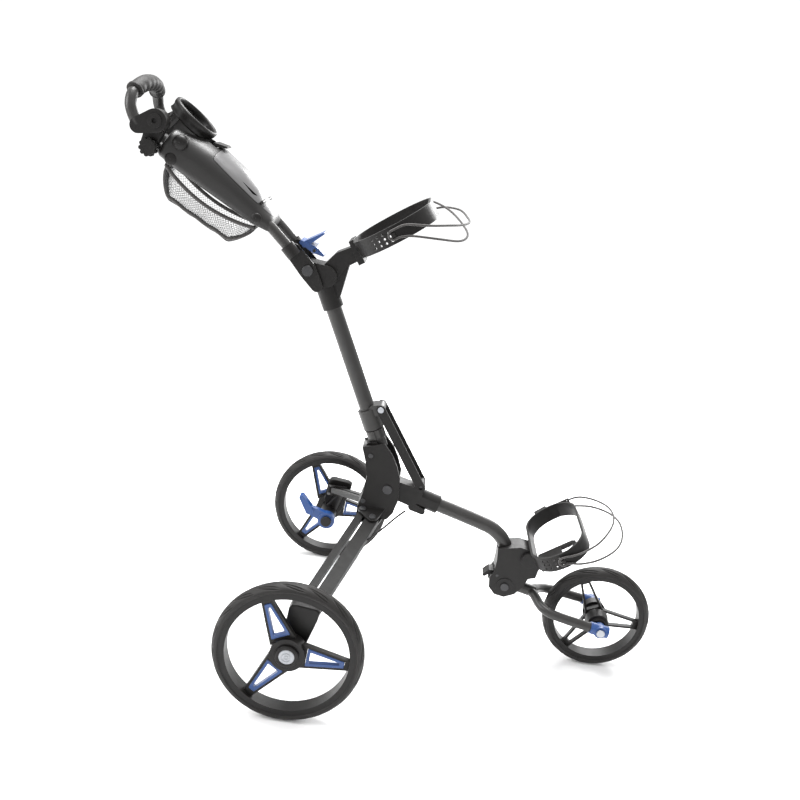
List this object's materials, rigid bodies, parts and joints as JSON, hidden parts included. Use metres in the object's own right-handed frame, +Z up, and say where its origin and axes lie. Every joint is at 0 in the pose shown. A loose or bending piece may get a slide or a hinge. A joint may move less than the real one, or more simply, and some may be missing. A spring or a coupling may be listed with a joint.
{
  "type": "golf push trolley",
  "caption": "Three-wheel folding golf push trolley with a leaning column, two bag cradles, a console with a drinks holder and a loop handle.",
  "frame": {"origin": "middle of the footprint box, on the ground that the tyres stand on", "axes": "+X forward to the front wheel, +Y to the left, +Z up"},
  "size_m": [1.2001, 0.737, 1.1495],
  "materials": {
    "charcoal_tube": "satin charcoal powder coat",
    "black_casting": "fine-grained black nylon",
    "console_grey": "dark grey ABS",
    "lid_grey": "light grey ABS",
    "blue_plastic": "bright blue",
    "rubber": "matt black",
    "tyre": "matt dark grey foam tyre",
    "steel": "plated steel",
    "dark_steel": "blackened steel",
    "net": "open black mesh",
    "elastic": "black elastic cord",
    "cap_grey": "light grey"
  },
  "bodies": {
    "frame": {"main_tube": "charcoal_tube", "housing_left": "black_casting", "housing_right": "black_casting", "frame_screws": "dark_steel", "stop_ring": "black_casting", "upper_bracket": "black_casting", "upper_cradle": "black_casting", "upper_strap": "rubber", "upper_bungee": "elastic", "handle_pin": "dark_steel"},
    "handle": {"handle_rails": "charcoal_tube", "handle_fork": "black_casting", "console_body": "console_grey", "console_base": "black_casting", "cup_ring": "black_casting", "side_caps": "black_casting", "net_bag": "net", "angle_brackets": "black_casting"},
    "console_lid": {"console_lid": "lid_grey"},
    "scorecard_clip": {"scorecard_clip": "black_casting"},
    "release_lever": {"release_lever": "blue_plastic"},
    "loop_handle": {"loop_tube": "charcoal_tube", "loop_grip": "rubber", "loop_arms": "black_casting"},
    "angle_knob": {"angle_knob": "black_casting"},
    "collar": {"slide_collar": "black_casting", "strut_rivets": "steel"},
    "struts": {"strut_bars": "charcoal_tube"},
    "front_arm": {"front_knuckle": "black_casting", "front_tube": "charcoal_tube", "front_bracket": "black_casting", "front_pins": "dark_steel", "lower_cradle": "black_casting", "lower_strap": "rubber", "lower_bungee": "elastic", "foot_plate": "black_casting"},
    "fork_catch": {"fork_catch": "black_casting"},
    "fork": {"front_fork": "charcoal_tube", "fork_ends": "blue_plastic", "front_axle": "steel"},
    "front_wheel": {"front_tyre": "tyre", "front_rim": "black_casting", "front_hub": "black_casting"},
    "leg_left": {"leg_left": "charcoal_tube"},
    "leg_right": {"leg_right": "charcoal_tube", "brake_cable": "rubber"},
    "rod_left": {"rod_left": "charcoal_tube"},
    "rod_right": {"rod_right": "charcoal_tube"},
    "carrier_left": {"carrier_left": "black_casting", "brake_cap": "black_casting"},
    "carrier_right": {"carrier_right": "black_casting"},
    "wheel_left": {"tyre_left": "tyre", "rim_left": "black_casting", "insert_left": "blue_plastic", "hub_cap_left": "cap_grey"},
    "wheel_right": {"tyre_right": "tyre", "rim_right": "black_casting", "insert_right": "blue_plastic", "hub_cap_right": "cap_grey"},
    "brake_pedal": {"brake_pedal": "blue_plastic"}
  },
  "joints": [
    {"name": "handle_fold", "type": "hinge", "parent": "frame", "child": "handle", "pos_m": [-0.234, 0, 0.815], "axis": [0, -1, 0], "range_deg": [0, 120]},
    {"name": "release_lever_lift", "type": "hinge", "parent": "handle", "child": "release_lever", "pos_m": [-0.225, 0, 0.856], "axis": [0, -1, 0], "range_deg": [0, 18], "stiffness_Nm_per_rad": 0.6},
    {"name": "console_lid_open", "type": "hinge", "parent": "handle", "child": "console_lid", "pos_m": [-0.33371, 0, 0.93827], "axis": [0, 1, 0], "range_deg": [0, 95]},
    {"name": "scorecard_clip_open", "type": "hinge", "parent": "handle", "child": "scorecard_clip", "pos_m": [-0.44391, 0, 1.02644], "axis": [0, -1, 0], "range_deg": [0, 30], "stiffness_Nm_per_rad": 0.2},
    {"name": "loop_handle_angle", "type": "hinge", "parent": "handle", "child": "loop_handle", "pos_m": [-0.53513, 0, 1.068], "axis": [0, -1, 0], "range_deg": [-25, 12]},
    {"name": "angle_knob_turn", "type": "hinge", "parent": "handle", "child": "angle_knob", "pos_m": [-0.5498, -0.076, 1.01793], "axis": [0, -1, 0], "range_deg": [0, 270]},
    {"name": "frame_fold", "type": "hinge", "parent": "frame", "child": "front_arm", "pos_m": [-0.019, 0, 0.368], "axis": [0, -1, 0], "range_deg": [0, 90]},
    {"name": "collar_slide", "type": "slide", "parent": "frame", "child": "collar", "axis": [-0.4163, 0, 0.9092], "range_m": [0, 0.09048]},
    {"name": "strut_swing", "type": "hinge", "parent": "collar", "child": "struts", "pos_m": [-0.054, 0, 0.541], "axis": [0, -1, 0], "range_deg": [-14.46, 0]},
    {"name": "leg_swing_right", "type": "hinge", "parent": "frame", "child": "leg_right", "pos_m": [-0.043, -0.052, 0.3], "axis": [0, 0.3502, -0.9367], "range_deg": [0, 48.2]},
    {"name": "rod_swing_right", "type": "hinge", "parent": "frame", "child": "rod_right", "pos_m": [-0.066, -0.03252, 0.30728], "axis": [0, 0.3502, -0.9367], "range_deg": [0, 48.2]},
    {"name": "carrier_turn_right", "type": "hinge", "parent": "leg_right", "child": "carrier_right", "pos_m": [-0.13154, -0.30574, 0.20513], "axis": [0, 0.3502, -0.9367], "range_deg": [-48.2, 0]},
    {"name": "rear_wheel_spin_right", "type": "hinge", "parent": "carrier_right", "child": "wheel_right", "pos_m": [-0.163, -0.348, 0.146], "axis": [0, 1, 0], "continuous": true},
    {"name": "leg_swing_left", "type": "hinge", "parent": "frame", "child": "leg_left", "pos_m": [-0.043, 0.052, 0.3], "axis": [0, 0.3502, 0.9367], "range_deg": [0, 48.2]},
    {"name": "rod_swing_left", "type": "hinge", "parent": "frame", "child": "rod_left", "pos_m": [-0.066, 0.03252, 0.30728], "axis": [0, 0.3502, 0.9367], "range_deg": [0, 48.2]},
    {"name": "carrier_turn_left", "type": "hinge", "parent": "leg_left", "child": "carrier_left", "pos_m": [-0.13154, 0.30574, 0.20513], "axis": [0, 0.3502, 0.9367], "range_deg": [-48.2, 0]},
    {"name": "rear_wheel_spin_left", "type": "hinge", "parent": "carrier_left", "child": "wheel_left", "pos_m": [-0.163, 0.348, 0.146], "axis": [0, 1, 0], "continuous": true},
    {"name": "fork_fold", "type": "hinge", "parent": "front_arm", "child": "fork", "pos_m": [0.265, 0, 0.174], "axis": [0, 1, 0], "range_deg": [0, 150]},
    {"name": "fork_catch_press", "type": "hinge", "parent": "front_arm", "child": "fork_catch", "pos_m": [0.245, 0, 0.198], "axis": [0, -1, 0], "range_deg": [0, 12], "stiffness_Nm_per_rad": 0.3},
    {"name": "front_wheel_spin", "type": "hinge", "parent": "fork", "child": "front_wheel", "pos_m": [0.481, 0, 0.119], "axis": [0, 1, 0], "continuous": true},
    {"name": "brake_pedal_press", "type": "hinge", "parent": "carrier_left", "child": "brake_pedal", "pos_m": [-0.163, 0.253, 0.146], "axis": [0, -1, 0], "range_deg": [0, 20]}
  ],
  "couplings": [
    {"joint": "collar_slide", "follows": "frame_fold", "m_per_rad": 0.057476},
    {"joint": "strut_swing", "follows": "frame_fold", "ratio": -0.15845},
    {"joint": "leg_swing_right", "follows": "frame_fold", "ratio": 0.53333},
    {"joint": "rod_swing_right", "follows": "frame_fold", "ratio": 0.53333},
    {"joint": "carrier_turn_right", "follows": "frame_fold", "ratio": -0.53333},
    {"joint": "leg_swing_left", "follows": "frame_fold", "ratio": 0.53333},
    {"joint": "rod_swing_left", "follows": "frame_fold", "ratio": 0.53333},
    {"joint": "carrier_turn_left", "follows": "frame_fold", "ratio": -0.53333}
  ]
}
